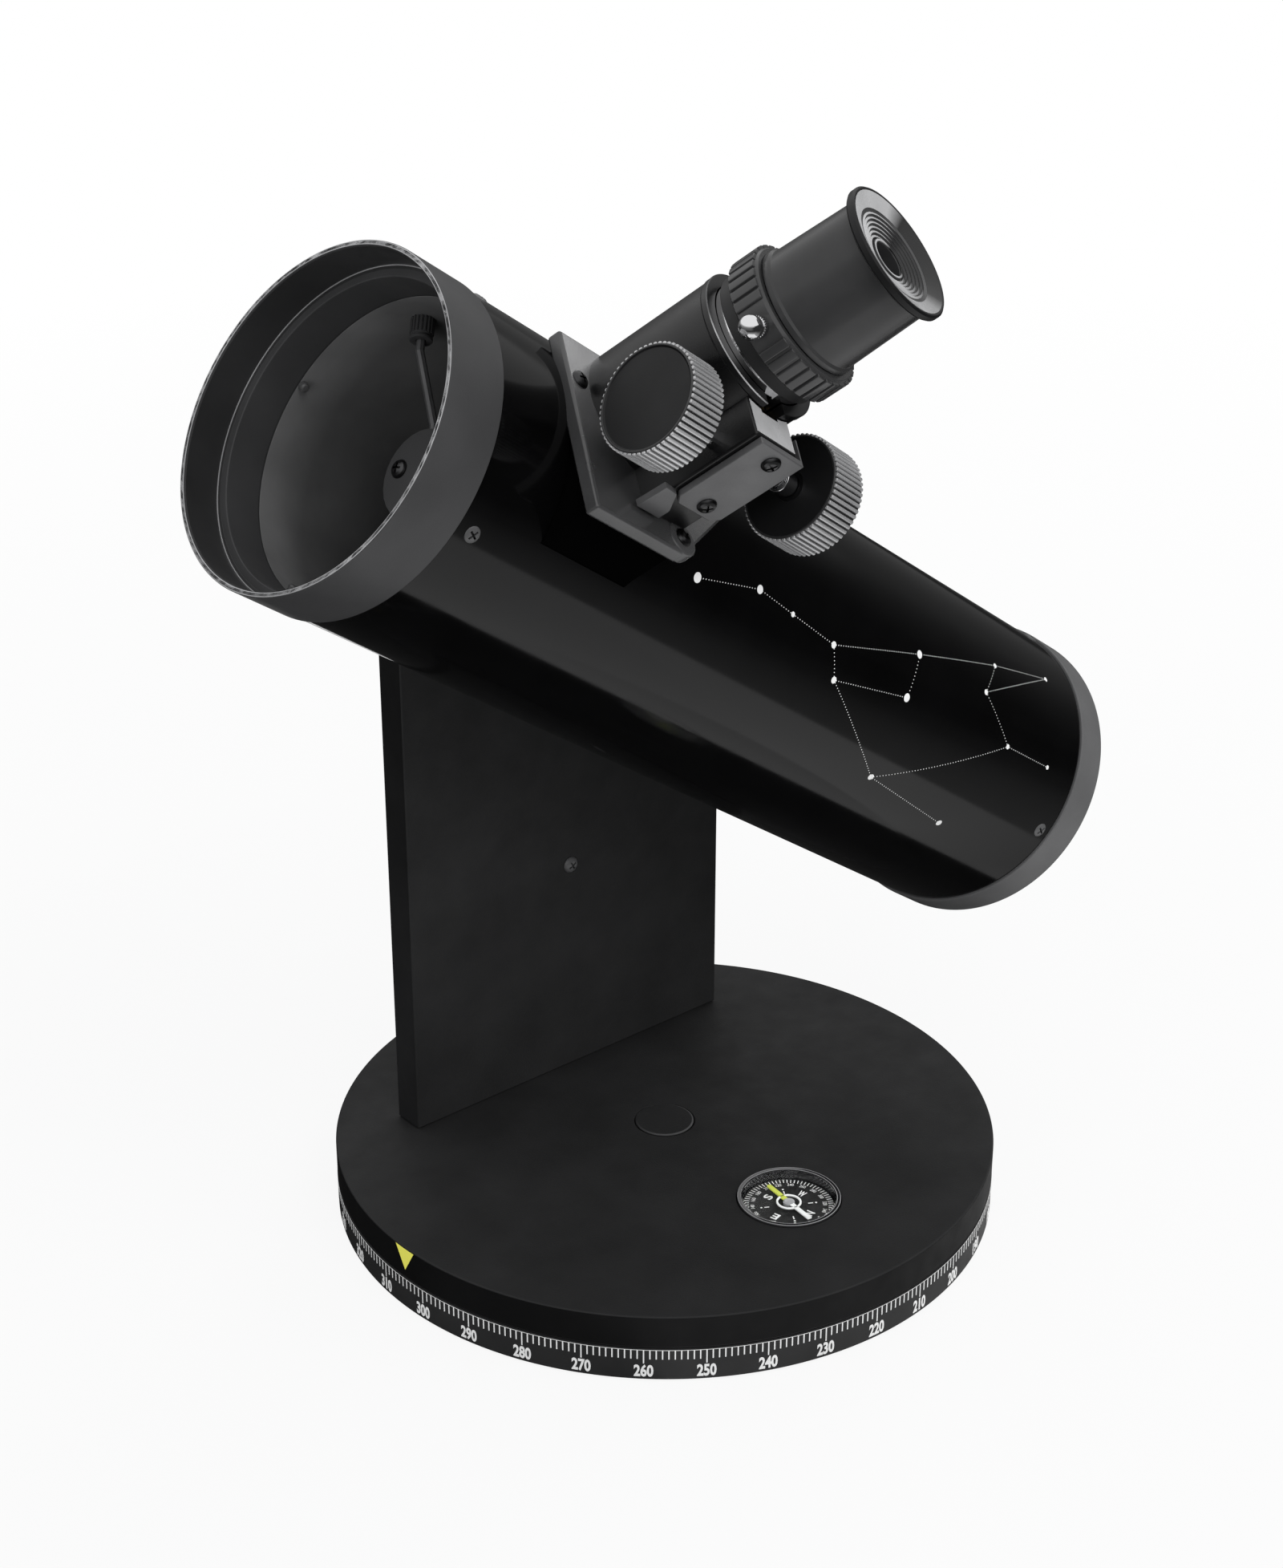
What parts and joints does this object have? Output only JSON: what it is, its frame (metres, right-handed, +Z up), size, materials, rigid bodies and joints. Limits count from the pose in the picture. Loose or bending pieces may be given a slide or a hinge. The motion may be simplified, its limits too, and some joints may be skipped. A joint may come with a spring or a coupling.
{
  "type": "newtonian reflector telescope",
  "caption": "Table-top newtonian reflector: tube on a single side arm with a tilting pivot, rack and pinion focuser with eyepiece, turning round base with degree scale and compass.",
  "frame": {"origin": "centre of the base's underside, on the turntable's axis", "axes": "+Z up along the turntable's axis; the tube's open end points towards -X and up; the side arm stands on the +Y side"},
  "size_m": [0.3271, 0.2238, 0.354],
  "materials": {
    "black_board": "black laminate, matte",
    "gloss_black_paint": "gloss black paint",
    "dark_grey_plastic": "satin",
    "black_plastic": "semi-gloss",
    "satin_casting": "satin",
    "chrome": "polished",
    "dark_steel": "dark nickel",
    "brass": "bright",
    "white_nylon": "satin",
    "mirror_coating": "aluminised glass",
    "clear_glass": "clear",
    "compass_dial": "printed dial",
    "needle_paint": "painted"
  },
  "bodies": {
    "base": {"ground_board": "black_board", "azimuth_insert": "brass", "azimuth_bolt": "dark_steel"},
    "turntable": {"turntable_board": "black_board", "azimuth_washer": "white_nylon", "pivot_cap": "black_plastic", "compass_housing": "black_plastic", "compass_dial": "compass_dial", "compass_glass": "clear_glass", "side_arm": "black_board", "arm_bolt_front": "dark_steel", "arm_bolt_rear": "dark_steel", "arm_screw": "dark_steel"},
    "needle": {"compass_needle": "needle_paint"},
    "optical_tube": {"altitude_saddle": "black_plastic", "friction_washer": "white_nylon", "altitude_bolt": "dark_steel", "knob_washer": "dark_steel", "main_tube": "gloss_black_paint", "front_ring": "dark_grey_plastic", "rear_cell": "dark_grey_plastic", "primary_mirror": "mirror_coating", "mirror_retainer": "black_plastic", "tube_screw_front_1": "dark_steel", "tube_screw_front_2": "dark_steel", "tube_screw_front_3": "dark_steel", "tube_screw_front_4": "dark_steel", "tube_screw_rear_1": "dark_steel", "tube_screw_rear_2": "dark_steel", "tube_screw_rear_3": "dark_steel", "tube_screw_rear_4": "dark_steel", "secondary_holder": "dark_grey_plastic", "secondary_mirror": "mirror_coating", "collimation_screw_1": "dark_steel", "collimation_screw_2": "dark_steel", "collimation_screw_3": "dark_steel", "spider_stalk": "dark_steel", "spider_boss": "black_plastic", "spider_screw": "dark_steel", "focuser_housing": "satin_casting", "pinion_cover": "satin_casting", "cover_screw_lower": "dark_steel", "cover_screw_upper": "dark_steel", "saddle_screw_front": "dark_steel", "saddle_screw_side": "dark_steel", "saddle_screw_rear": "dark_steel"},
    "tension_knob": {"altitude_knob": "black_plastic"},
    "focus_slider": {"draw_tube": "chrome", "focus_rack": "black_plastic", "eyepiece_holder": "black_plastic"},
    "focus_pinion": {"pinion_shaft": "chrome", "focus_knob_front": "black_plastic", "focus_knob_rear": "black_plastic"},
    "eyepiece": {"eyepiece_barrel": "chrome", "eyepiece_body": "black_plastic", "field_lens": "clear_glass", "eye_lens": "clear_glass"},
    "lock_screw": {"eyepiece_lock_screw": "chrome"}
  },
  "joints": [
    {"name": "azimuth_turn", "type": "hinge", "parent": "base", "child": "turntable", "pos_m": [0, 0, 0.0117], "axis": [0, 0, 1], "continuous": true},
    {"name": "compass_turn", "type": "hinge", "parent": "turntable", "child": "needle", "pos_m": [0, -0.061, 0.022], "axis": [0, 0, 1], "continuous": true},
    {"name": "altitude_tilt", "type": "hinge", "parent": "turntable", "child": "optical_tube", "pos_m": [0, -0.004, 0.2081], "axis": [0, 1, 0], "range_deg": [-34.4, 55.6]},
    {"name": "tension_turn", "type": "hinge", "parent": "optical_tube", "child": "tension_knob", "pos_m": [0, -0.004, 0.2081], "axis": [0, 1, 0], "continuous": true},
    {"name": "focus_travel", "type": "slide", "parent": "optical_tube", "child": "focus_slider", "axis": [0.4149, -0.6788, 0.6059], "range_m": [-0.001, 0.022]},
    {"name": "pinion_turn", "type": "hinge", "parent": "optical_tube", "child": "focus_pinion", "pos_m": [-0.04346, -0.07705, 0.28641], "axis": [0.8251, 0, -0.565], "range_deg": [-12, 253]},
    {"name": "eyepiece_pull", "type": "slide", "parent": "focus_slider", "child": "eyepiece", "axis": [0.4149, -0.6788, 0.6059], "range_m": [0, 0.03]},
    {"name": "lock_screw_turn", "type": "hinge", "parent": "focus_slider", "child": "lock_screw", "pos_m": [-0.02241, -0.07548, 0.31716], "axis": [-0.9063, -0.3672, 0.2092], "continuous": true}
  ],
  "couplings": [
    {"joint": "pinion_turn", "follows": "focus_travel", "rad_per_m": 200}
  ]
}
